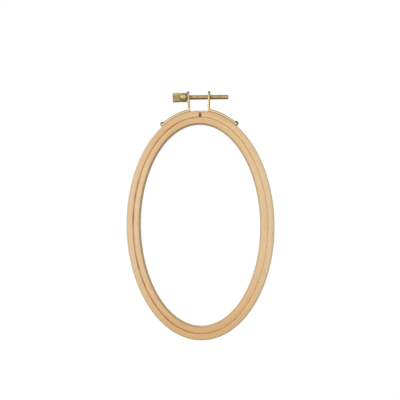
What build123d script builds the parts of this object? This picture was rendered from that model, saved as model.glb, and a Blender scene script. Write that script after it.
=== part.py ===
from build123d import *
import os
from math import atan2, cos, radians, sin, sqrt, tan

os.makedirs("parts", exist_ok=True)

# An oval wooden embroidery hoop with a brass clamp, in millimetres. It lies on its back:
# the origin is the centre of the oval on the surface that the hoop lies on, +Z points up
# through the opening and +Y towards the clamp screw.

# Wooden rings
opening_width = 89.9
opening_length = 151.3
inner_wall = 5.5
ring_fit = 0.2
outer_wall = 4.9
ring_depth = 8.0
bevel_width = 1.4
bevel_depth = 3.0
seam_edge_radius = 0.4
ring_edge_radius = 0.7
split_gap = 2.0
split_offset = 0.6

# Brass strips: each one hugs the outer ring and turns up into an ear
strip_thickness = 1.75
strip_width = 7.0
strap_seat = 0.1
strap_reach = 29.4
strap_end_radius = 1.2
bend_inside_radius = 0.7
bend_outside_radius = 1.1
ear_height = 14.7
ear_corner_radius = 2.4
left_ear_foot = 7.4
right_ear_foot = 7.15
left_ear_lean = 3.4
right_ear_lean = 2.0
ear_hole_play = 0.3
thread_play = 0.06

# Clamp screw, with its slot turned a little off upright
screw_height = 10.1
shaft_diameter = 3.5
shaft_length = 32.0
tip_chamfer = 0.5
head_diameter = 7.3
head_length = 9.9
head_chamfer = 0.35
shoulder_diameter = 7.1
knurl_length = 5.7
knurl_depth = 0.28
knurl_count = 30
neck_groove_width = 0.5
neck_groove_depth = 0.35
slot_width = 1.3
slot_depth = 1.2
slot_turn = 14

# Washer between the screw's head and the left ear
washer_diameter = 7.2
washer_thickness = 0.7
washer_play = 0.05
washer_hole_play = 0.2
washer_edge_radius = 0.12

# Domed nails that hold the strips to the wood
nail_inset = 1.95
nail_head_diameter = 3.7
nail_head_height = 1.3
nail_shank_diameter = 1.4
nail_length = 5.2
nail_point_length = 1.2
nail_play = 0.06
nail_head_play = 0.02

cut_overrun = 1.0

# Half sizes of the four ovals, from the opening outwards
opening_x, opening_y = opening_width / 2, opening_length / 2
inner_out_x, inner_out_y = opening_x + inner_wall, opening_y + inner_wall
outer_in_x, outer_in_y = inner_out_x + ring_fit, inner_out_y + ring_fit
outer_out_x, outer_out_y = outer_in_x + outer_wall, outer_in_y + outer_wall

# The strips' underside and outside are ovals too
seat_x, seat_y = outer_out_x + strap_seat, outer_out_y + strap_seat
strap_x, strap_y = seat_x + strip_thickness, seat_y + strip_thickness

mid_z = ring_depth / 2
left, right = -1, 1


def oval_height(half_x, half_y, x):
    """Y of an oval's upper half at a given X."""
    return half_y * sqrt(1 - (x / half_x) ** 2)


def oval_place(half_x, half_y, x):
    """Point of an oval's upper half at a given X and mid depth, and the outward normal."""
    y = oval_height(half_x, half_y, x)
    normal = Vector(x / half_x**2, y / half_y**2, 0).normalized()
    return Vector(x, y, mid_z), normal


def nail_seat(side):
    """Middle of the nail head's underside, just off the strap, and the way it faces."""
    end, normal = oval_place(strap_x, strap_y, side * strap_reach)
    place, normal = oval_place(strap_x, strap_y, end.X - side * nail_inset * normal.Y)
    return place + normal * nail_head_play, normal


# The screw's axis starts at the face of the head that bears on the washer
ear_rise = outer_out_y + screw_height - oval_height(seat_x, seat_y, left_ear_foot)
ear_face_x = -left_ear_foot - ear_rise * tan(radians(left_ear_lean))
ear_face_x -= strip_thickness / 2 / cos(radians(left_ear_lean))
lean_room = washer_diameter / 2 * tan(radians(left_ear_lean))
head_face_x = ear_face_x - lean_room - washer_thickness - 2 * washer_play
head_face = Vector(head_face_x, outer_out_y + screw_height, mid_z)
slot_way = Vector(0, sin(radians(slot_turn)), cos(radians(slot_turn)))
screw_axis = Axis(head_face, (1, 0, 0))
screw_side = Plane(head_face, x_dir=(1, 0, 0), z_dir=(0, 0, 1))
screw_end_on = Plane(head_face, x_dir=(0, 0, 1), z_dir=(1, 0, 0))
slot_side = Plane(head_face, x_dir=(1, 0, 0), z_dir=slot_way)


def make_ring(half_in, half_out):
    """An oval wooden hoop with square rims."""
    with BuildPart() as ring:
        with BuildSketch():
            Ellipse(*half_out)
            Ellipse(*half_in, mode=Mode.SUBTRACT)
        extrude(amount=ring_depth)
    return ring


# The inner ring is bevelled towards the opening and eased where it meets the outer ring
with BuildPart() as inner_ring:
    add(make_ring((opening_x, opening_y), (inner_out_x, inner_out_y)).part)
    for place in (0, -1):
        face = inner_ring.faces().sort_by(Axis.Z)[place]
        rim = face.edges().sort_by(SortBy.LENGTH)[0]
        chamfer(rim, bevel_width, bevel_depth, reference=face)
    rims = inner_ring.edges().filter_by(GeomType.ELLIPSE).sort_by(SortBy.LENGTH)
    fillet(rims[-2:], seam_edge_radius)

with BuildPart() as bent_hoop:
    add(make_ring((outer_in_x, outer_in_y), (outer_out_x, outer_out_y)).part)
    rims = bent_hoop.edges().filter_by(GeomType.ELLIPSE).sort_by(SortBy.LENGTH)
    fillet(rims[:2], seam_edge_radius)
    rims = bent_hoop.edges().filter_by(GeomType.ELLIPSE).sort_by(SortBy.LENGTH)
    fillet(rims[-2:], ring_edge_radius)

# The outer ring is a bent hoop drilled for the nails and sawn through near its crown
with BuildPart() as outer_ring:
    add(bent_hoop.part)
    for side in (left, right):
        place, normal = nail_seat(side)
        with BuildSketch(Plane(place, x_dir=(0, 0, 1), z_dir=normal)):
            Circle(nail_shank_diameter / 2 + nail_play)
        extrude(amount=-nail_length - nail_play, mode=Mode.SUBTRACT)
    with BuildSketch(Plane.XY.offset(-cut_overrun)):
        with Locations((split_offset, (outer_in_y + outer_out_y) / 2)):
            Rectangle(split_gap, 2 * outer_wall)
    extrude(amount=ring_depth + 2 * cut_overrun, mode=Mode.SUBTRACT)


def make_bracket(side, foot, lean, hole_diameter):
    """One bent brass strip: a strap on the ring, then a bend, then the ear."""
    up = Vector(side * sin(radians(lean)), cos(radians(lean)))
    out = Vector(side * cos(radians(lean)), -sin(radians(lean)))
    foot_middle = Vector(side * foot, oval_height(seat_x, seat_y, foot))
    ear_root = foot_middle - up * strip_thickness
    ear_tip = foot_middle + up * (outer_out_y + ear_height - foot_middle.Y) / up.Y
    ear_middle = (ear_root + ear_tip) / 2
    end, end_normal = oval_place(strap_x, strap_y, side * strap_reach)
    end_inside = end - end_normal * 2 * strip_thickness
    end_outside = end + end_normal * strip_thickness
    with BuildPart() as bracket:
        with BuildSketch(Plane.XY.offset(mid_z - strip_width / 2)):
            Ellipse(strap_x, strap_y)
            with BuildLine():
                Polyline(
                    (end_inside.X, end_inside.Y),
                    (end_outside.X, end_outside.Y),
                    (end_outside.X, ear_tip.Y),
                    (foot_middle.X, ear_tip.Y),
                    (ear_root.X, ear_root.Y),
                    close=True,
                )
            make_face(mode=Mode.INTERSECT)
            with Locations(Location((ear_middle.X, ear_middle.Y), (0, 0, -side * lean))):
                Rectangle(strip_thickness, (ear_tip - ear_root).length)
            Ellipse(seat_x, seat_y, mode=Mode.SUBTRACT)
        extrude(amount=strip_width)

        bend_inside = foot_middle + out * strip_thickness / 2 + up * strip_thickness
        bend_outside = foot_middle - out * strip_thickness / 2
        for corner, radius in (
            (bend_inside, bend_inside_radius),
            (bend_outside, bend_outside_radius),
        ):
            upright = bracket.edges().filter_by(Axis.Z)
            fillet(upright.sort_by_distance(corner + (0, 0, mid_z))[0], radius)
        ear_top = bracket.faces().sort_by(Axis.Y)[-1]
        fillet(ear_top.edges().filter_by(Axis.Z, reverse=True), ear_corner_radius)
        strap_end = bracket.faces().sort_by_distance(end - end_normal * strip_thickness / 2)[0]
        fillet(strap_end.edges().filter_by(Axis.Z, reverse=True), strap_end_radius)

        with BuildSketch(screw_end_on):
            Circle(hole_diameter / 2)
        extrude(amount=shaft_length, mode=Mode.SUBTRACT)
        nail_place, nail_normal = nail_seat(side)
        with BuildSketch(Plane(nail_place, x_dir=(0, 0, 1), z_dir=nail_normal)):
            Circle(nail_shank_diameter / 2 + nail_play)
        extrude(amount=-nail_length, mode=Mode.SUBTRACT)
    return bracket


left_bracket = make_bracket(
    left, left_ear_foot, left_ear_lean, shaft_diameter + 2 * ear_hole_play
)
right_bracket = make_bracket(
    right, right_ear_foot, right_ear_lean, shaft_diameter + 2 * thread_play
)

# The screw is turned from one bar: knurled grip, neck groove, plain shoulder, shaft
with BuildPart() as clamp_screw:
    head_radius, shoulder_radius = head_diameter / 2, shoulder_diameter / 2
    shaft_radius = shaft_diameter / 2
    grip_end = knurl_length - head_length
    groove_end = grip_end + neck_groove_width
    groove_floor = shoulder_radius - neck_groove_depth
    with BuildSketch(screw_side):
        with BuildLine():
            Polyline(
                (-head_length, 0),
                (-head_length, head_radius - head_chamfer),
                (head_chamfer - head_length, head_radius),
                (grip_end - head_chamfer, head_radius),
                (grip_end, head_radius - head_chamfer),
                (grip_end, groove_floor),
                (groove_end, groove_floor),
                (groove_end, shoulder_radius),
                (-head_chamfer, shoulder_radius),
                (0, shoulder_radius - head_chamfer),
                (0, shaft_radius),
                (shaft_length - tip_chamfer, shaft_radius),
                (shaft_length, shaft_radius - tip_chamfer),
                (shaft_length, 0),
                close=True,
            )
        make_face()
    revolve(axis=screw_axis)
    with BuildSketch(screw_end_on.offset(-head_length)):
        with PolarLocations(head_radius, knurl_count):
            RegularPolygon(knurl_depth, 4)
    extrude(amount=knurl_length, mode=Mode.SUBTRACT)
    with BuildSketch(slot_side):
        with Locations((-head_length, 0)):
            Rectangle(2 * slot_depth, slot_width)
    extrude(amount=head_diameter, both=True, mode=Mode.SUBTRACT)

with BuildPart() as head_washer:
    with BuildSketch(screw_end_on.offset(washer_play)):
        Circle(washer_diameter / 2)
        Circle(shaft_diameter / 2 + washer_hole_play, mode=Mode.SUBTRACT)
    extrude(amount=washer_thickness)
    fillet(head_washer.edges().filter_by(GeomType.CIRCLE), washer_edge_radius)


def make_nail(side):
    """A round-headed brass nail, driven square to the strip."""
    place, normal = nail_seat(side)
    head, shank = nail_head_diameter / 2, nail_shank_diameter / 2
    with BuildPart() as nail:
        with BuildSketch(Plane(place, x_dir=normal, z_dir=(0, 0, 1))):
            with BuildLine():
                Polyline(
                    (nail_head_height, 0),
                    (-nail_length, 0),
                    (nail_point_length - nail_length, shank),
                    (0, shank),
                    (0, head),
                )
                ThreePointArc(
                    (0, head),
                    (dome_middle.X, dome_middle.Y),
                    (nail_head_height, 0),
                )
            make_face()
        revolve(axis=Axis(place, normal))
    return nail


# A point halfway along the dome of a nail's head, which is part of a ball
dome_ball = ((nail_head_diameter / 2) ** 2 + nail_head_height**2) / (2 * nail_head_height)
dome_turn = atan2(nail_head_diameter / 2, dome_ball - nail_head_height) / 2
dome_middle = Vector(
    nail_head_height - dome_ball + dome_ball * cos(dome_turn), dome_ball * sin(dome_turn)
)

left_nail = make_nail(left)
right_nail = make_nail(right)

pieces = {
    "inner_ring": inner_ring,
    "outer_ring": outer_ring,
    "left_bracket": left_bracket,
    "right_bracket": right_bracket,
    "clamp_screw": clamp_screw,
    "head_washer": head_washer,
    "left_nail": left_nail,
    "right_nail": right_nail,
}
for name, piece in pieces.items():
    piece.part.label = name
    export_step(piece.part, f"parts/{name}.step")
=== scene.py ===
import bmesh
import bpy
from math import cos, pi, radians, sin, sqrt, tan
from mathutils import Matrix, Vector


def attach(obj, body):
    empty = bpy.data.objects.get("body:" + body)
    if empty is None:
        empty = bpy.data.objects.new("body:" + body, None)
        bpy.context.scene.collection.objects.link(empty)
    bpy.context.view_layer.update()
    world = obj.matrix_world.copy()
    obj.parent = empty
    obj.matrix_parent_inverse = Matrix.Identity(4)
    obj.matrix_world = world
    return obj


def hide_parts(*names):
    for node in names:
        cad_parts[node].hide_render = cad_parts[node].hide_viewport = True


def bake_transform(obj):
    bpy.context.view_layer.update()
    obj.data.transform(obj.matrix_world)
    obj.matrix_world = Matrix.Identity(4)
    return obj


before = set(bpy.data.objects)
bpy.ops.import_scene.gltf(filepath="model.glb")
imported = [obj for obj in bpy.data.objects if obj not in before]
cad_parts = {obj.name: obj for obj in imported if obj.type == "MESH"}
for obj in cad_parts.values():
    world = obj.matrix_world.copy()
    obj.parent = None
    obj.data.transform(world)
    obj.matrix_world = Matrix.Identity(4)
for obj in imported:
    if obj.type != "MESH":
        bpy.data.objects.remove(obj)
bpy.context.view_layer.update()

# An oval wooden embroidery hoop with a brass clamp, lying on its back. Everything is in metres:
# +Z points up through the opening and +Y towards the clamp screw.
mm = 0.001

# Wooden rings
opening_width = 89.9 * mm
opening_length = 151.3 * mm
inner_wall = 5.5 * mm
ring_fit = 0.2 * mm
outer_wall = 4.9 * mm
ring_depth = 8.0 * mm
bevel_width = 1.4 * mm
bevel_depth = 3.0 * mm
bevel_softness = 0.5 * mm
seam_edge_radius = 0.4 * mm
ring_edge_radius = 0.7 * mm
tightened = 0.09 * mm
split_gap = 2.0 * mm
split_offset = 0.6 * mm
saw_edge_softness = 0.15 * mm
saw_edge_facets = 2
rim_facets = 6
ring_stations = 361
# How much of a strip's length counts as its sawn end
crown_edge_share = 0.0001

# Brass strips: each one hugs the outer ring and turns up into an ear
strip_thickness = 1.75 * mm
strip_width = 7.0 * mm
strap_seat = 0.1 * mm
strap_reach = 29.4 * mm
strap_end_radius = 1.2 * mm
strap_stations = 28
bend_inside_radius = 0.7 * mm
bend_outside_radius = 1.1 * mm
bend_stations = 8
ear_height = 14.7 * mm
ear_corner_radius = 2.4 * mm
left_ear_foot = 7.4 * mm
right_ear_foot = 7.15 * mm
left_ear_lean = radians(3.4)
right_ear_lean = radians(2.0)
ear_hole_play = 0.3 * mm
thread_play = 0.06 * mm
nail_inset = 1.95 * mm
nail_hole_radius = 0.76 * mm
rolled_edge = 0.9 * mm
sheared_edge = 0.2 * mm
edge_facets = 5
corner_facets = 7
hole_facets = 48
bend_passes = 8
# A face whose normal has more than this along Z is one of the strip's sheared edges
sheared_from = 0.9

# Clamp screw
head_face = Vector((-9.93009, 96.35, 4.0)) * mm
shaft_diameter = 3.5 * mm
shaft_length = 32.0 * mm
shaft_overlap = 0.5 * mm
tip_chamfer = 0.5 * mm
thread_pitch = 0.6 * mm
thread_depth = 0.12 * mm
thread_start = 1.0 * mm
# A groove's flank runs between these shares of half the grooves' spacing, land first
thread_flank = (0.86, 0.16)
stations_a_pitch = 10
shaft_facets = 48
head_diameter = 7.3 * mm
head_length = 9.9 * mm
head_chamfer = 0.35 * mm
# The head's end has a second ring of points at this share of its radius
end_ring_share = 0.55
shoulder_diameter = 7.1 * mm
shoulder_rounding = 0.12 * mm
knurl_length = 5.7 * mm
knurl_depth = 0.28 * mm
knurl_count = 30
knurl_flank = (0.80, 0.05)
knurl_overrun = 0.1 * mm
facets_a_knurl = 8
neck_groove_width = 0.5 * mm
neck_groove_depth = 0.35 * mm
neck_chamfer = 0.1 * mm
slot_width = 1.3 * mm
slot_depth = 1.2 * mm
slot_turn = radians(14)

# Where the hoop's tone changes, and where shade is painted by the seam: each pair goes from no
# trace to the full one
warm_end_y = (-30 * mm, -78 * mm)
pale_side_x = (30 * mm, 50 * mm)
seam_shade_side_x = (30 * mm, -35 * mm)
seam_shade_off_middle = (2.2 * mm, 3.4 * mm)
seam_shade_off_seam = (1.0 * mm, 0.35 * mm)
dull_ear_x = (0, -2 * mm)
dull_ear_y = (86 * mm, 89 * mm)
grey_tip_y = (96 * mm, 100 * mm)

# Points that count as being at one place, or as one point, and the edges that stay sharp
close_by = 0.01 * mm
touching = 0.001 * mm
sharp_angle = radians(32)

# Stage: white paper, a grey room with a long pale panel overhead, a lamp and the camera
floor_reach = 3.0
floor_z = -0.02 * mm
paper_colour = "#BCBCBC"
paper_glow = 1.03
glow_share = 0.97
glow_in_metal = 0.25
# Painted shade on the paper down in the saw cut, with where it lies and how it fades
cut_shade_colour = "#7A5636"
cut_daylight = (0.50, 0.20)
cut_reach = 12 * mm
cut_half_width = (1.8 * mm, 1.2 * mm)
cut_from_y = (78 * mm, 80 * mm)
room_colour = "#929292"
room_strength = 1.16
panel_way = Vector((-0.10, 0.42, 0.90)).normalized()
panel_stretch = (0.5, 1, 1)
panel_edge = (0.66, 0.92)
lamp_place = Vector((-0.95, 0.30, 0.95))
lamp_size = 0.7
lamp_power = 7.4
view_height = 0.95
view_width = 0.300
picture_middle = (-0.17 * mm, 19.07 * mm)
hoop_turn = radians(0.65)


def add(tree, kind, sockets=None, **settings):
    """A node with its settings. sockets gives its inputs by name or number: each one a value,
    a node or a node's output."""
    node = tree.nodes.new(kind)
    for name, value in settings.items():
        setattr(node, name, value)
    for key, value in (sockets or {}).items():
        if isinstance(value, bpy.types.Node):
            value = value.outputs[0]
        if isinstance(value, bpy.types.NodeSocket):
            tree.links.new(value, node.inputs[key])
        else:
            node.inputs[key].default_value = value
    return node


def maths(tree, operation, *values):
    """Arithmetic on numbers, in a shader tree or a geometry tree."""
    return add(tree, "ShaderNodeMath", dict(enumerate(values)), operation=operation)


def apart(tree, first, second):
    """How far two numbers are from each other."""
    return maths(tree, "ABSOLUTE", maths(tree, "SUBTRACT", first, second))


def stored(tree, name, output="Fac"):
    """What a shader reads of a value kept on the mesh."""
    return add(tree, "ShaderNodeAttribute", attribute_name=name).outputs[output]


def linear(code):
    """Linear colour of an sRGB hex code."""
    parts = [int(code[i:i + 2], 16) / 255 for i in (1, 3, 5)]
    parts = [c / 12.92 if c <= 0.04045 else ((c + 0.055) / 1.055) ** 2.4 for c in parts]
    return (*parts, 1)


def new_material(name):
    """A material with an empty tree and its surface shader."""
    material = bpy.data.materials.new(name)
    material.use_nodes = True
    tree = material.node_tree
    tree.nodes.clear()
    surface = add(tree, "ShaderNodeBsdfPrincipled")
    add(tree, "ShaderNodeOutputMaterial", {"Surface": surface})
    return material, tree, surface


def blend_colours(tree, share, first, second):
    """Mixes two colours; each is a hex code or a node's output."""
    first, second = (linear(c) if isinstance(c, str) else c for c in (first, second))
    mix = add(tree, "ShaderNodeMix", {0: share, 6: first, 7: second}, data_type="RGBA")
    return mix.outputs[2]


def ramp(tree, value, low, high, to_low=0.0, to_high=1.0):
    """A value from low to high, stretched to a share from to_low to to_high."""
    return add(tree, "ShaderNodeMapRange", {0: value, 1: low, 2: high, 3: to_low, 4: to_high})


def wood_noise(tree, length, width, detail=2.0):
    """Noise drawn out along the strip of wood: length along it, width across and through it."""
    place = add(
        tree,
        "ShaderNodeVectorMath",
        {0: stored(tree, "grain", "Vector"), 1: (1 / length, 1 / length, 1 / width)},
        operation="MULTIPLY",
    )
    through = maths(tree, "MULTIPLY", stored(tree, "level"), 1 / width)
    noise = add(
        tree,
        "ShaderNodeTexNoise",
        {"Vector": place, "W": through, "Scale": 1.0, "Detail": detail},
        noise_dimensions="4D",
    )
    return noise.outputs[0]


def make_beech(name, pale, mid, warm, rim_shade_from, rim_shade_to, rim_shade_share):
    """Steamed beech, bent and sanded smooth, with no varnish: an even pale tan with faint streaks
    along the strip, short darker flecks, a soft sheen, and painted shade where the two rings meet.
    The rim away from the seam gets painted grey shade by a share, between two distances from it."""
    material, tree, surface = new_material(name)
    streaks = ramp(tree, wood_noise(tree, 60 * mm, 1.3 * mm, 3.0), 0.35, 0.65)
    wood = blend_colours(tree, streaks, pale, mid)
    # The hoop is warmer towards its far end
    at = add(tree, "ShaderNodeSeparateXYZ", {0: stored(tree, "grain", "Vector")}).outputs
    patches = wood_noise(tree, 45 * mm, 40 * mm)
    towards_far_end = ramp(tree, at["Y"], *warm_end_y)
    warmth = maths(tree, "MULTIPLY", towards_far_end, ramp(tree, patches, 0.3, 0.6, 0.6, 1.0))
    # The two long sides are paler
    aside = ramp(tree, maths(tree, "ABSOLUTE", at["X"]), *pale_side_x, 0, 0.7)
    wood = blend_colours(tree, aside, wood, "#EACBA2")
    wood = blend_colours(tree, warmth, wood, warm)
    wood = blend_colours(tree, ramp(tree, patches, 0.45, 0.75, 0, 0.35), wood, warm)
    # Beech's flecks are about 0.2 mm wide; they are drawn 0.45 mm wide to show at all
    flecks = wood_noise(tree, 5 * mm, 0.45 * mm, 1.0)
    wood = blend_colours(tree, ramp(tree, flecks, 0.62, 0.74, 0, 0.30), wood, "#A9784A")
    fibres = wood_noise(tree, 14 * mm, 0.3 * mm)
    wood = blend_colours(tree, ramp(tree, fibres, 0.45, 0.75, 0, 0.16), wood, "#B98C5C")
    # Painted shade in the groove where the two rings' rims touch: darkest on the left, in uneven
    # stretches, and near the top and bottom faces
    off_seam = stored(tree, "seam")
    near_seam = ramp(tree, off_seam, *seam_shade_off_seam)
    seam_shade_side = ramp(tree, at["X"], *seam_shade_side_x, 0.1, 0.85)
    off_middle = apart(tree, stored(tree, "level"), ring_depth / 2)
    seam_shade_side = maths(tree, "MULTIPLY", seam_shade_side, ramp(tree, off_middle, *seam_shade_off_middle))
    stretches = ramp(tree, wood_noise(tree, 12 * mm, 30 * mm), 0.42, 0.60, 0.6, 1.0)
    seam_shade = maths(tree, "MULTIPLY", near_seam, maths(tree, "MULTIPLY", seam_shade_side, stretches))
    wood = blend_colours(tree, seam_shade, wood, "#A87340")
    # Painted shade: the rims away from the seam are drawn greyer
    rim_shade = ramp(tree, off_seam, rim_shade_from, rim_shade_to, 0, rim_shade_share)
    wood = blend_colours(tree, rim_shade, wood, "#B3A28B")
    tree.links.new(wood, surface.inputs["Base Color"])
    tree.links.new(ramp(tree, fibres, 0.3, 0.7, 0.50, 0.66).outputs[0], surface.inputs["Roughness"])
    bump = add(tree, "ShaderNodeBump", {"Height": fibres, "Strength": 0.35, "Distance": 0.05 * mm})
    tree.links.new(bump.outputs[0], surface.inputs["Normal"])
    return material


def make_sawn_beech():
    """Beech across the grain, as the saw left it: darker and duller, with pores and saw lines."""
    material, tree, surface = new_material("sawn_beech")
    place = add(tree, "ShaderNodeTexCoord").outputs["Object"]
    pores = add(tree, "ShaderNodeTexVoronoi", {"Vector": place, "Scale": 1 / (0.35 * mm)})
    lines = add(
        tree,
        "ShaderNodeTexWave",
        {"Vector": place, "Scale": 0.05 / (0.4 * mm), "Distortion": 1.5, "Detail": 2.0},
        bands_direction="Z",
    ).outputs["Fac"]
    wood = blend_colours(tree, ramp(tree, pores, 0.10, 0.35, 0.55, 0.0), "#B08A66", "#6E4B31")
    wood = blend_colours(tree, ramp(tree, lines, 0.5, 1.0, 0, 0.3), wood, "#8A6444")
    tree.links.new(wood, surface.inputs["Base Color"])
    surface.inputs["Roughness"].default_value = 0.8
    bump = add(tree, "ShaderNodeBump", {"Height": lines, "Strength": 0.5, "Distance": 0.04 * mm})
    tree.links.new(bump.outputs[0], surface.inputs["Normal"])
    return material


def make_brass(name, clean, dull, marks, roughness, tarnish, groove_shade_colour=None, ears=False):
    """Brass whose fine marks run as the tool or the rolls left them: marks gives their spacing
    along X, Y and Z. The dulled patches are browner and rougher. The ears' tips are greyer and the
    left ear duller all over. A groove colour darkens the cut grooves as painted shade."""
    material, tree, surface = new_material(name)
    place = add(tree, "ShaderNodeTexCoord").outputs["Object"]
    drawn = add(
        tree,
        "ShaderNodeVectorMath",
        {0: place, 1: tuple(1 / spacing for spacing in marks)},
        operation="MULTIPLY",
    )
    lines = add(tree, "ShaderNodeTexNoise", {"Vector": drawn, "Scale": 1.0, "Detail": 3.0})
    clouds, specks = (
        add(tree, "ShaderNodeTexNoise", {"Vector": place, "Scale": 1 / size, "Detail": detail})
        for size, detail in ((2.6 * mm, 4.0), (0.5 * mm, 2.0))
    )
    dulled = ramp(tree, clouds, 0.62 - tarnish / 2, 0.86 - tarnish / 2)
    metal = blend_colours(tree, maths(tree, "MULTIPLY", dulled, 0.7), clean, dull)
    metal = blend_colours(tree, ramp(tree, specks, 0.62, 0.72, 0, 0.2), metal, dull)
    rough = ramp(tree, lines, 0.3, 0.7, roughness - 0.06, roughness + 0.06)
    rough = maths(tree, "ADD", rough, maths(tree, "MULTIPLY", dulled, 0.14))
    if groove_shade_colour:
        # Painted shade: the deeper in a groove, the more its colour goes to the groove colour
        depth = stored(tree, "groove")
        metal = blend_colours(tree, ramp(tree, depth, 0.3, 1.0, 0, 0.6), metal, groove_shade_colour)
        rough = maths(tree, "ADD", rough, maths(tree, "MULTIPLY", depth, 0.2))
    if ears:
        at = add(tree, "ShaderNodeSeparateXYZ", {0: place}).outputs
        on_left = ramp(tree, at["X"], *dull_ear_x)
        left_ear = maths(tree, "MULTIPLY", on_left, ramp(tree, at["Y"], *dull_ear_y))
        metal = blend_colours(tree, maths(tree, "MULTIPLY", left_ear, 0.65), metal, "#9C9276")
        greyer = ramp(tree, at["Y"], *grey_tip_y, 0, 0.75)
        metal = blend_colours(tree, greyer, metal, "#94897A")
        greyer = maths(tree, "MAXIMUM", greyer, left_ear)
        rough = maths(tree, "ADD", rough, maths(tree, "MULTIPLY", greyer, 0.15))
    tree.links.new(metal, surface.inputs["Base Color"])
    surface.inputs["Metallic"].default_value = 1.0
    tree.links.new(rough.outputs[0], surface.inputs["Roughness"])
    bump = add(tree, "ShaderNodeBump", {"Height": lines, "Strength": 0.2, "Distance": 0.02 * mm})
    tree.links.new(bump.outputs[0], surface.inputs["Normal"])
    return material


# The last three numbers place the painted grey shade on the rims away from the seam
inner_beech = make_beech("inner_beech", "#EDCA97", "#DFB380", "#DCB17A", 4.0 * mm, 4.7 * mm, 0.3)
outer_beech = make_beech("outer_beech", "#EDCB99", "#E0B482", "#DDB27C", 3.2 * mm, 4.3 * mm, 0.4)
sawn_beech = make_sawn_beech()
# Rolled strip: satin, with hair-fine lines along the strip, a few brown patches and grey ear tips
rolled_brass = make_brass(
    "rolled_brass", "#B29A66", "#877343", (4 * mm, 4 * mm, 0.12 * mm), 0.34, 0.15, ears=True
)
# The sheared edges, facing the light overhead, are a brighter brass: a painted highlight
painted_highlight_brass_edge = make_brass(
    "painted_highlight_brass_edge", "#E4C793", "#C2A46C", (3 * mm, 3 * mm, 0.2 * mm), 0.28, 0.05, ears=True
)
# Turned bar: fine rings round the screw, and painted shade, browner, in the grooves
turned_brass = make_brass(
    "turned_brass", "#D6C28B", "#A39060", (0.1 * mm, 3 * mm, 3 * mm), 0.34, 0.15,
    groove_shade_colour="#A98B5C",
)
# The thread: browner and duller than the head, with painted shade in its grooves
threaded_brass = make_brass(
    "threaded_brass", "#CDB083", "#967B52", (0.1 * mm, 3 * mm, 3 * mm), 0.46, 0.15,
    groove_shade_colour="#AD916A",
)
# Nail heads: struck with a hammer and handled, so duller
struck_brass = make_brass(
    "struck_brass", "#B39A63", "#857044", (0.9 * mm, 0.9 * mm, 0.9 * mm), 0.38, 0.25
)


def geometry_tree(name, inputs):
    """A geometry tree with named inputs and one geometry output."""
    tree = bpy.data.node_groups.new(name, "GeometryNodeTree")
    for label, kind in inputs:
        tree.interface.new_socket(label, in_out="INPUT", socket_type="NodeSocket" + kind)
    tree.interface.new_socket("Geometry", in_out="OUTPUT", socket_type="NodeSocketGeometry")
    return tree, add(tree, "NodeGroupInput").outputs


def finish_tree(tree, geometry, *coats):
    """Ends a tree in real geometry and its materials: coats gives each one with its selection."""
    geometry = add(tree, "GeometryNodeRealizeInstances", {0: geometry})
    for material, where in coats:
        geometry = add(
            tree,
            "GeometryNodeSetMaterial",
            {"Geometry": geometry, "Material": material, "Selection": where},
        )
    add(tree, "NodeGroupOutput", {0: geometry})


def store(tree, geometry, name, value, kind="FLOAT", domain="POINT"):
    """Keeps a value on the mesh under a name."""
    return add(
        tree,
        "GeometryNodeStoreNamedAttribute",
        {"Geometry": geometry, "Name": name, "Value": value},
        data_type=kind,
        domain=domain,
    )


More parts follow.
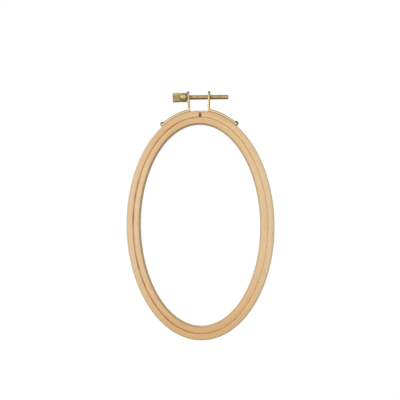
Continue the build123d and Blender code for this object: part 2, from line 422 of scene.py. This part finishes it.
def make_strip_tree():
    """A straight strip of wood, bevelled inside and with rounded rims, bent round an oval."""
    tree, given = geometry_tree(
        "bent_wooden_strip",
        (
            ("Half Width", "Float"),
            ("Half Length", "Float"),
            ("Wall", "Float"),
            ("Depth", "Float"),
            ("Bevel Width", "Float"),
            ("Bevel Depth", "Float"),
            ("Inside Rim", "Float"),
            ("Outside Rim", "Float"),
            ("From", "Float"),
            ("To", "Float"),
            ("Stations", "Int"),
            ("Rim Facets", "Int"),
            ("Sawn", "Bool"),
            ("Crown End", "Float"),
            ("Seam Side", "Float"),
            ("Wood", "Material"),
            ("Sawn Wood", "Material"),
        ),
    )
    wall, depth = given["Wall"], given["Depth"]
    at = add(tree, "ShaderNodeSeparateXYZ", {0: add(tree, "GeometryNodeInputPosition")}).outputs
    # The section's +X side turns into the inside of the hoop: it is bevelled, then all edges
    # are rounded
    sides = {"Width": wall, "Height": depth}
    section = add(tree, "GeometryNodeCurvePrimitiveQuadrilateral", sides)
    inside = add(tree, "FunctionNodeCompare", {0: at["X"], 1: 0.0}, operation="GREATER_THAN")
    bevel = maths(tree, "MULTIPLY", inside, given["Bevel Width"])
    section = add(
        tree,
        "GeometryNodeFilletCurve",
        {"Curve": section, "Count": 1, "Radius": bevel},
        mode="POLY",
    )
    half_wall, half_depth = maths(tree, "DIVIDE", wall, 2.0), maths(tree, "DIVIDE", depth, 2.0)
    at_inside = maths(tree, "LESS_THAN", maths(tree, "SUBTRACT", half_wall, at["X"]), close_by)
    wall_end = maths(tree, "SUBTRACT", half_depth, given["Bevel Depth"])
    wall_end = maths(tree, "MULTIPLY", wall_end, maths(tree, "SIGN", at["Y"]))
    moved = add(tree, "ShaderNodeCombineXYZ", {0: at["X"], 1: wall_end})
    section = add(
        tree,
        "GeometryNodeSetPosition",
        {"Geometry": section, "Selection": at_inside, "Position": moved},
    )
    rim = add(
        tree,
        "GeometryNodeSwitch",
        {"Switch": inside, "False": given["Outside Rim"], "True": given["Inside Rim"]},
        input_type="FLOAT",
    )
    section = add(
        tree,
        "GeometryNodeFilletCurve",
        {"Curve": section, "Count": given["Rim Facets"], "Radius": rim, "Limit Radius": True},
        mode="POLY",
    )
    line = add(tree, "GeometryNodeCurvePrimitiveLine", {"End": (1, 0, 0)})
    line = add(tree, "GeometryNodeResampleCurve", {"Curve": line, "Count": given["Stations"]})
    line = add(tree, "GeometryNodeSetCurveNormal", {"Curve": line}, mode="Z_UP")
    strip = add(
        tree,
        "GeometryNodeCurveToMesh",
        {"Curve": line, "Profile Curve": section, "Fill Caps": given["Sawn"]},
    )
    # Sawn ends face along the strip; the crown's end has its edges taken off
    facing = add(tree, "ShaderNodeSeparateXYZ", {0: add(tree, "GeometryNodeInputNormal")})
    end_on = maths(tree, "GREATER_THAN", maths(tree, "ABSOLUTE", facing.outputs["X"]), 0.5)
    strip = store(tree, strip, "sawn", end_on, "BOOLEAN", "FACE")
    from_crown = apart(tree, at["X"], given["Crown End"])
    at_crown = maths(tree, "LESS_THAN", from_crown, crown_edge_share)
    at_crown = maths(tree, "MULTIPLY", at_crown, given["Sawn"])
    strip = store(tree, strip, "bevel_weight_edge", at_crown, "FLOAT", "EDGE")
    across = maths(tree, "ADD", at["Y"], half_wall)
    level = maths(tree, "ADD", at["Z"], half_depth)
    turn = ramp(tree, at["X"], 0.0, 1.0, given["From"], given["To"])
    x, y = (
        maths(tree, "MULTIPLY", maths(tree, "ADD", given[half], across), maths(tree, wave, turn))
        for half, wave in (("Half Width", "COSINE"), ("Half Length", "SINE"))
    )
    seam = apart(tree, across, maths(tree, "MULTIPLY", given["Seam Side"], wall))
    grain = add(tree, "ShaderNodeCombineXYZ", {0: x, 1: y, 2: across})
    strip = store(tree, strip, "grain", grain, "FLOAT_VECTOR")
    strip = store(tree, strip, "level", level)
    strip = store(tree, strip, "seam", seam)
    # The bend moves every point, so what the wood's looks need was stored first
    bent = add(tree, "ShaderNodeCombineXYZ", {0: x, 1: y, 2: level})
    strip = add(tree, "GeometryNodeSetPosition", {"Geometry": strip, "Position": bent})
    strip = add(tree, "GeometryNodeMergeByDistance", {"Geometry": strip, "Distance": touching})
    strip = add(tree, "GeometryNodeSetShadeSmooth", {"Geometry": strip})
    sawn = add(tree, "GeometryNodeInputNamedAttribute", {"Name": "sawn"}, data_type="BOOLEAN")
    finish_tree(tree, strip, (given["Wood"], True), (given["Sawn Wood"], sawn))
    return tree


def cut_tree(name, sizes, shape):
    """A tree that cuts into a turned bar lying along X: shape gives the new radius and how deep
    the cut is there."""
    floats = ((label, "Float") for label in sizes)
    tree, given = geometry_tree(name, (("Geometry", "Geometry"), *floats, ("Metal", "Material")))
    at = add(tree, "ShaderNodeSeparateXYZ", {0: add(tree, "GeometryNodeInputPosition")})
    along, y, z = at.outputs
    squares = (maths(tree, "POWER", side, 2.0) for side in (y, z))
    radius = maths(tree, "SQRT", maths(tree, "ADD", *squares))
    turn = maths(tree, "DIVIDE", maths(tree, "ARCTAN2", z, y), 2 * pi)
    cut, depth = shape(tree, given, along, radius, turn)
    share = maths(tree, "DIVIDE", cut, maths(tree, "MAXIMUM", radius, touching))
    bar = store(tree, given["Geometry"], "groove", depth)
    place = add(
        tree,
        "ShaderNodeCombineXYZ",
        {0: along, 1: maths(tree, "MULTIPLY", y, share), 2: maths(tree, "MULTIPLY", z, share)},
    )
    bar = add(tree, "GeometryNodeSetPosition", {"Geometry": bar, "Position": place})
    finish_tree(tree, bar, (given["Metal"], True))
    return tree


def valley(tree, turns, flank):
    """V grooves, one to each turn: 1 at the root and 0 on the land."""
    phase = maths(tree, "FRACT", turns)
    from_root = apart(tree, maths(tree, "MULTIPLY", phase, 2.0), 1.0)
    return ramp(tree, from_root, *flank)


def cut_to(tree, given, radius, depth):
    """The radius left by a cut of a given share of its full depth, and that share."""
    cut = maths(tree, "SUBTRACT", given["Radius"], maths(tree, "MULTIPLY", depth, given["Depth"]))
    return maths(tree, "MINIMUM", radius, cut), depth


def thread_shape(tree, given, along, radius, turn):
    """A right-hand V thread with a run-out at its start."""
    turns = maths(tree, "SUBTRACT", maths(tree, "DIVIDE", along, given["Pitch"]), turn)
    run_out = maths(tree, "ADD", given["Start"], given["Pitch"])
    cutting = ramp(tree, along, given["Start"], run_out)
    depth = maths(tree, "MULTIPLY", valley(tree, turns, thread_flank), cutting)
    return cut_to(tree, given, radius, depth)


def knurl_shape(tree, given, along, radius, turn):
    """Straight V grooves along a stretch of the bar."""
    turns = maths(tree, "MULTIPLY", turn, given["Count"])
    before_end = maths(tree, "LESS_THAN", along, given["End"])
    root = maths(tree, "SUBTRACT", given["Radius"], given["Depth"])
    on_grip = maths(tree, "MULTIPLY", before_end, maths(tree, "GREATER_THAN", radius, root))
    depth = maths(tree, "MULTIPLY", valley(tree, turns, knurl_flank), on_grip)
    return cut_to(tree, given, radius, depth)


def new_object(name, data=None):
    """An object at the origin, with its mesh, lamp or camera."""
    thing = bpy.data.objects.new(name, data or bpy.data.meshes.new(name))
    bpy.context.scene.collection.objects.link(thing)
    return thing


def set_inputs(modifier, tree, values):
    """Sets a modifier's inputs by their labels, through each socket's identifier."""
    modifier.node_group = tree
    for socket in tree.interface.items_tree:
        if socket.in_out == "INPUT" and socket.name in values:
            modifier[socket.identifier] = values[socket.name]


def cut_bar(bar, name, shape, sizes, metal):
    """Cuts grooves of given sizes into a turned bar and gives it its metal."""
    tree = cut_tree("cut_" + name, sizes, shape)
    set_inputs(bar.modifiers.new(name, "NODES"), tree, {**sizes, "Metal": metal})


def smooth(mesh):
    """Shades a mesh smooth but for its sharp edges."""
    mesh.shade_smooth()
    mesh.set_sharp_from_angle(angle=sharp_angle)


def settle(thing):
    """Turns an object with its modifiers into one plain, smooth mesh."""
    bpy.context.view_layer.update()
    graph = bpy.context.evaluated_depsgraph_get()
    mesh = bpy.data.meshes.new_from_object(thing.evaluated_get(graph))
    thing.modifiers.clear()
    thing.data = mesh
    mesh.name = thing.name
    smooth(mesh)
    return thing


strip_tree = make_strip_tree()


def bend_strip(name, half_width, half_length, wall, wood, start, stop, **more):
    """One wooden strip bent round an oval, from one angle to another, clockwise."""
    strip = new_object(name)
    values = {
        "Half Width": half_width,
        "Half Length": half_length,
        "Wall": wall,
        "Depth": ring_depth,
        "From": start,
        "To": stop,
        "Stations": ring_stations,
        "Rim Facets": rim_facets,
        "Wood": wood,
        "Sawn Wood": sawn_beech,
        **more,
    }
    set_inputs(strip.modifiers.new("bend", "NODES"), strip_tree, values)
    if more["Sawn"]:
        bevel = strip.modifiers.new("saw_edges", "BEVEL")
        bevel.limit_method = "WEIGHT"
        bevel.width = saw_edge_softness
        bevel.segments = saw_edge_facets
    return settle(strip)


# The tightened rings are pressed together: each closes up by most of half the fit
opening_x, opening_y = opening_width / 2, opening_length / 2
outer_x = opening_x + inner_wall + ring_fit - tightened
outer_y = opening_y + inner_wall + ring_fit - tightened
quarter = pi / 2
crown_width = outer_x + outer_wall / 2
split_left = (split_offset - split_gap / 2) / crown_width
split_right = (split_offset + split_gap / 2) / crown_width

inner_hoop = bend_strip(
    "inner_hoop", opening_x, opening_y, inner_wall + tightened, inner_beech,
    quarter, -3 * quarter, **{
        "Sawn": False, "Seam Side": 1.0, "Stations": 2 * ring_stations - 1,
        "Bevel Width": bevel_width, "Bevel Depth": bevel_depth,
        "Inside Rim": bevel_softness, "Outside Rim": seam_edge_radius,
    },
)
half_hoop = {
    "Sawn": True, "Seam Side": 0.0, "Bevel Width": 0.0, "Bevel Depth": 0.0,
    "Inside Rim": seam_edge_radius, "Outside Rim": ring_edge_radius,
}
left_half = bend_strip(
    "outer_hoop_left", outer_x, outer_y, outer_wall + tightened, outer_beech,
    3 * quarter, quarter - split_left, **half_hoop, **{"Crown End": 1.0},
)
right_half = bend_strip(
    "outer_hoop_right", outer_x, outer_y, outer_wall + tightened, outer_beech,
    quarter - split_right, -quarter, **half_hoop, **{"Crown End": 0.0},
)


# The ovals of the straps' inner and outer faces
seat_x, seat_y = (half + outer_wall + tightened + strap_seat for half in (outer_x, outer_y))
strap_x, strap_y = seat_x + strip_thickness, seat_y + strip_thickness
ear_tip_y = seat_y - strap_seat + ear_height


def oval_place(half_x, half_y, x):
    """Point of an oval's upper half at a given X, and the outward normal."""
    y = half_y * sqrt(1 - (x / half_x) ** 2)
    return Vector((x, y)), Vector((x / half_x**2, y / half_y**2)).normalized()


def bent_line(oval, end_x, foot, up, radius, tip):
    """One face of a bent strip from above: along an oval, round a corner, then up an ear."""
    x = foot.x
    # Each pass brings the corner closer to where the ear's face meets the oval
    for _ in range(bend_passes):
        corner, normal = oval_place(*oval, x)
        x = foot.x + up.x * (corner.y - foot.y) / up.y
    along = Vector((normal.y, -normal.x)) * (1 if end_x > 0 else -1)
    half_angle = along.angle(up) / 2
    start, stop = (corner + way * radius / tan(half_angle) for way in (along, up))
    middle = corner + (along + up).normalized() * radius / sin(half_angle)
    points = []
    for i in range(strap_stations):
        points.append(oval_place(*oval, end_x + (start.x - end_x) * i / strap_stations)[0])
    for i in range(bend_stations + 1):
        way = (start - middle).slerp(stop - middle, i / bend_stations)
        points.append(middle + way * radius)
    return points + [tip]


def drill(thing, name, place, way, radius, length):
    """Drills a round hole through an object."""
    bpy.ops.mesh.primitive_cylinder_add(
        vertices=hole_facets, radius=radius, depth=length, location=place
    )
    bit = bpy.context.object
    bit.rotation_euler = Vector(way).to_track_quat("Z", "Y").to_euler()
    hole = thing.modifiers.new(name, "BOOLEAN")
    hole.object = bit
    hole.solver = "EXACT"
    return bit


def tube_faces(rings, count):
    """The faces of a tube whose points lie in rings of one count."""
    faces = []
    for row in range(rings - 1):
        for i in range(count):
            a, b = row * count + i, row * count + (i + 1) % count
            faces.append((a, b, b + count, a + count))
    return faces


def quarter_round(middle, radius, drawn_in, turn):
    """A corner of a strip's blank, clockwise from an angle and drawn in from the full outline."""
    reach, height = radius - drawn_in, strip_width / 2 - radius
    angles = [turn - pi / 2 * i / corner_facets for i in range(corner_facets + 1)]
    return [(middle + reach * cos(a), height + reach * sin(a)) for a in angles]


def bend_brass(name, side, foot, lean, hole_radius):
    """One brass strip: its outer edges are rolled round and the others only slightly rounded; the
    flat sheared edges are a brighter brass, a painted highlight.
    """
    up = Vector((side * sin(lean), cos(lean)))
    out = Vector((side * cos(lean), -sin(lean)))
    foot_middle = oval_place(seat_x, seat_y, side * foot)[0]
    tip = foot_middle + up * (ear_tip_y - foot_middle.y) / up.y
    half = out * strip_thickness / 2
    end, end_normal = oval_place(strap_x, strap_y, side * strap_reach)
    inner_end = end.x - end_normal.x * strip_thickness
    inner, outer = (
        bent_line(oval, end_x, foot_middle + off, up, radius, tip + off)
        for oval, end_x, off, radius in (
            ((seat_x, seat_y), inner_end, -half, bend_outside_radius),
            ((strap_x, strap_y), end.x, half, bend_inside_radius),
        )
    )
    along = [0.0]
    for i in range(1, len(inner)):
        step = (inner[i] + outer[i] - inner[i - 1] - outer[i - 1]) / 2
        along.append(along[-1] + step.length)
    length = along[-1]

    def place(s, z, share):
        """Place on the bent strip: s along it, z off its middle and a share of its thickness."""
        i = max(k for k in range(len(along) - 1) if along[k] <= s or k == 0)
        part = (s - along[i]) / (along[i + 1] - along[i])
        flat = inner[i].lerp(inner[i + 1], part).lerp(outer[i].lerp(outer[i + 1], part), share)
        return flat.x, flat.y, ring_depth / 2 + z

    # The flat blank has round corners. Each layer through its thickness is its outline, drawn in
    layers = []
    for i in range(edge_facets + 1):
        turn = pi / 2 * (1 - i / edge_facets)
        layers.append((sheared_edge * (1 - sin(turn)), sheared_edge * (1 - cos(turn))))
    for i in range(edge_facets + 1):
        turn = pi / 2 * i / edge_facets
        height = strip_thickness - rolled_edge * (1 - sin(turn))
        layers.append((height, rolled_edge * (1 - cos(turn))))
    strap_stop, ear_stop = strap_end_radius, length - ear_corner_radius
    sides = [s for s in along if strap_stop < s < ear_stop]
    points = []
    for height, drawn_in in layers:
        outline = quarter_round(strap_stop, strap_end_radius, drawn_in, pi)
        outline += [(s, strip_width / 2 - drawn_in) for s in sides]
        outline += quarter_round(ear_stop, ear_corner_radius, drawn_in, pi / 2)
        share = height / strip_thickness
        points += [place(s, z, share) for s, z in outline]
        points += [place(s, -z, share) for s, z in reversed(outline)]
    ring = 2 * len(outline)
    faces = tube_faces(len(layers), ring)
    for start in (0, len(points) - ring):
        for i in range(len(outline) - 1):
            faces.append((start + i, start + i + 1, start + ring - 2 - i, start + ring - 1 - i))
    mesh = bpy.data.meshes.new(name)
    mesh.from_pydata(points, [], faces)
    shape = bmesh.new()
    shape.from_mesh(mesh)
    bmesh.ops.recalc_face_normals(shape, faces=shape.faces)
    # Faces along Z, the sheared edges, get the second material: a brighter brass, as painted
    # highlight
    for face in shape.faces:
        face.material_index = int(abs(face.normal.z) > sheared_from)
    shape.to_mesh(mesh)
    shape.free()
    mesh.materials.append(rolled_brass)
    mesh.materials.append(painted_highlight_brass_edge)
    bracket = new_object(name, mesh)
    screw_at = Vector((side * foot, head_face.y, head_face.z))
    nail_x = end.x - side * nail_inset * end_normal.y
    nail_at, nail_way = oval_place(strap_x, strap_y, nail_x)
    nail_at, nail_way = (*nail_at, ring_depth / 2), (*nail_way, 0)
    bit_length = 4 * strip_thickness
    bits = (
        drill(bracket, "screw_hole", screw_at, (1, 0, 0), hole_radius, bit_length),
        drill(bracket, "nail_hole", nail_at, nail_way, nail_hole_radius, bit_length),
    )
    settle(bracket)
    for bit in bits:
        bpy.data.objects.remove(bit)
    return bracket


shaft_radius, head_radius = shaft_diameter / 2, head_diameter / 2
shoulder_radius = shoulder_diameter / 2
left_strip = bend_brass(
    "left_strip", -1, left_ear_foot, left_ear_lean, shaft_radius + ear_hole_play
)
right_strip = bend_brass(
    "right_strip", 1, right_ear_foot, right_ear_lean, shaft_radius + thread_play
)


def turn_blank(name, profile, facets):
    """A bar turned to a profile of places along X and radii, closed at both ends."""
    points = []
    for x, radius in profile:
        for i in range(facets):
            angle = 2 * pi * i / facets
            points.append((x, radius * cos(angle), radius * sin(angle)))
    faces = tube_faces(len(profile), facets)
    for row, x in ((0, profile[0][0]), (len(profile) - 1, profile[-1][0])):
        middle = len(points)
        points.append((x, 0, 0))
        for i in range(facets):
            a, b = row * facets + i, row * facets + (i + 1) % facets
            faces.append((b, a, middle) if row == 0 else (a, b, middle))
    mesh = bpy.data.meshes.new(name)
    mesh.from_pydata(points, [], faces)
    return new_object(name, mesh)


grip_end = knurl_length - head_length
groove_end = grip_end + neck_groove_width
groove_floor = shoulder_radius - neck_groove_depth

# The shaft runs a little way into the head, so that the two make one bar
stations = round(shaft_length / thread_pitch * stations_a_pitch)
shaft_profile = [(-shaft_overlap, shaft_radius)]
for i in range(stations + 1):
    x = shaft_length * i / stations
    shaft_profile.append((x, min(shaft_radius, shaft_radius - tip_chamfer + shaft_length - x)))
shaft = turn_blank("shaft", shaft_profile, shaft_facets)
thread = {
    "Pitch": thread_pitch,
    "Depth": thread_depth,
    "Radius": shaft_radius,
    "Start": thread_start,
}
cut_bar(shaft, "thread", thread_shape, thread, threaded_brass)
settle(shaft)

head_profile = (
    (-head_length, end_ring_share * head_radius),
    (-head_length, head_radius - head_chamfer),
    (head_chamfer / 2 - head_length, head_radius - head_chamfer / 2),
    (head_chamfer - head_length, head_radius),
    (grip_end - head_chamfer, head_radius),
    (grip_end - head_chamfer / 2, head_radius - head_chamfer / 2),
    (grip_end, head_radius - head_chamfer),
    (grip_end, groove_floor),
    (groove_end, groove_floor),
    (groove_end, shoulder_radius - neck_chamfer),
    (groove_end + neck_chamfer, shoulder_radius),
    (-head_chamfer, shoulder_radius),
    (-shoulder_rounding, shoulder_radius - shoulder_rounding),
    (0, shoulder_radius - head_chamfer),
    (0, shaft_radius),
)
head = turn_blank("head", head_profile, knurl_count * facets_a_knurl)
knurl = {
    "Count": knurl_count,
    "Depth": knurl_depth,
    "Radius": head_radius,
    "End": grip_end + knurl_overrun,
}
cut_bar(head, "knurl", knurl_shape, knurl, turned_brass)
bpy.ops.mesh.primitive_cube_add(size=1, location=(-head_length, 0, 0))
slot_cutter = bpy.context.object
slot_cutter.scale = (2 * slot_depth, slot_width, 2 * head_diameter)
slot_cutter.rotation_euler.x = -slot_turn
cut = head.modifiers.new("slot", "BOOLEAN")
cut.object = slot_cutter
cut.solver = "EXACT"
settle(head)
bpy.data.objects.remove(slot_cutter)

# Head and shaft become one piece, laid where the real screw lies
for face in head.data.polygons:
    face.material_index = 1
whole = bmesh.new()
whole.from_mesh(shaft.data)
whole.from_mesh(head.data)
whole.transform(Matrix.Translation(head_face))
screw_mesh = bpy.data.meshes.new("screw")
whole.to_mesh(screw_mesh)
whole.free()
screw_mesh.materials.append(threaded_brass)
screw_mesh.materials.append(turned_brass)
screw = new_object("screw", screw_mesh)
smooth(screw_mesh)
for part in (shaft, head):
    bpy.data.objects.remove(part)

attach(inner_hoop, "inner")
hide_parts("inner_ring")
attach(left_half, "frame")
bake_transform(right_half)
for half in (left_half, right_half):
    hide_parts("outer_ring")
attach(left_strip, "frame")
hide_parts("left_bracket")
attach(right_strip, "right_clamp")
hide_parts("right_bracket")
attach(screw, "screw")
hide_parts("clamp_screw")
for node, coat in (
    ("head_washer", rolled_brass),
    ("left_nail", struck_brass),
    ("right_nail", struck_brass),
):
    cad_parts[node].material_slots[0].material = coat

# A pale floor that shows white, and still takes a little of the hoop's shadow
floor_mesh = bpy.data.meshes.new("floor")
corners = ((-1, -1), (1, -1), (1, 1), (-1, 1))
floor_mesh.from_pydata(
    [(floor_reach * x, floor_reach * y, floor_z) for x, y in corners], [], [(0, 1, 2, 3)]
)
floor = new_object("floor", floor_mesh)
paper = bpy.data.materials.new("white_paper")
paper.use_nodes = True
tree = paper.node_tree
tree.nodes.clear()
path = add(tree, "ShaderNodeLightPath").outputs
in_metal = maths(tree, "MULTIPLY", path["Is Glossy Ray"], glow_in_metal)
seen = maths(tree, "MAXIMUM", path["Is Camera Ray"], in_metal)
seen = maths(tree, "MAXIMUM", seen, path["Is Transmission Ray"])
share = maths(tree, "MULTIPLY", seen, glow_share)
matt = add(tree, "ShaderNodeBsdfDiffuse", {"Color": linear(paper_colour)})
# Painted shade: down in the saw cut hardly any light reaches the paper, and what does comes off the
# wood, so the paper's glow is browned there
open_sky = add(tree, "ShaderNodeAmbientOcclusion", {"Distance": cut_reach}, samples=16)
place = add(tree, "ShaderNodeTexCoord").outputs["Object"]
at = add(tree, "ShaderNodeSeparateXYZ", {0: place}).outputs
past_cut = maths(tree, "SUBTRACT", at["Y"], outer_y + outer_wall - cut_half_width[1])
off_cut = maths(tree, "MAXIMUM", apart(tree, at["X"], split_offset), past_cut)
at_cut = maths(
    tree, "MULTIPLY", ramp(tree, off_cut, *cut_half_width), ramp(tree, at["Y"], *cut_from_y)
)
shade = maths(tree, "MULTIPLY", at_cut, ramp(tree, open_sky.outputs["AO"], *cut_daylight))
lit = blend_colours(tree, shade, "#FFFFFF", cut_shade_colour)
glow = add(tree, "ShaderNodeEmission", {"Color": lit, "Strength": paper_glow})
surface = add(tree, "ShaderNodeMixShader", {0: share, 1: matt, 2: glow})
add(tree, "ShaderNodeOutputMaterial", {"Surface": surface})
floor_mesh.materials.append(paper)

# Soft studio light: a dim room with a long pale panel overhead, and a lamp at the left
world = bpy.data.worlds.new("studio")
bpy.context.scene.world = world
world.use_nodes = True
tree = world.node_tree
tree.nodes.clear()
way = add(tree, "ShaderNodeTexCoord").outputs["Generated"]
way = add(tree, "ShaderNodeVectorMath", {0: way, 1: panel_stretch}, operation="MULTIPLY")
way = add(tree, "ShaderNodeVectorMath", {0: way}, operation="NORMALIZE")
to_panel = add(tree, "ShaderNodeVectorMath", {0: way, 1: panel_way}, operation="DOT_PRODUCT")
panel = ramp(tree, to_panel.outputs["Value"], *panel_edge)
room = blend_colours(tree, panel, room_colour, "#FFFFFF")
background = add(tree, "ShaderNodeBackground", {"Color": room, "Strength": room_strength})
add(tree, "ShaderNodeOutputWorld", {"Surface": background})
lamp_light = bpy.data.lights.new("key_lamp", "AREA")
lamp_light.shape = "SQUARE"
lamp_light.size = lamp_size
lamp_light.energy = lamp_power
lamp = new_object("key_lamp", lamp_light)
lamp.location = lamp_place
lamp.rotation_euler = (-lamp_place).to_track_quat("-Z", "Y").to_euler()

# The camera looks straight down, far enough away that the walls inside the opening hardly show
camera = bpy.data.cameras.new("camera")
camera.lens = camera.sensor_width * view_height / view_width
eye = new_object("camera", camera)
eye.location = (*picture_middle, ring_depth + view_height)
eye.rotation_euler.z = -hoop_turn
bpy.context.scene.camera = eye
bpy.context.scene.view_settings.view_transform = "Standard"
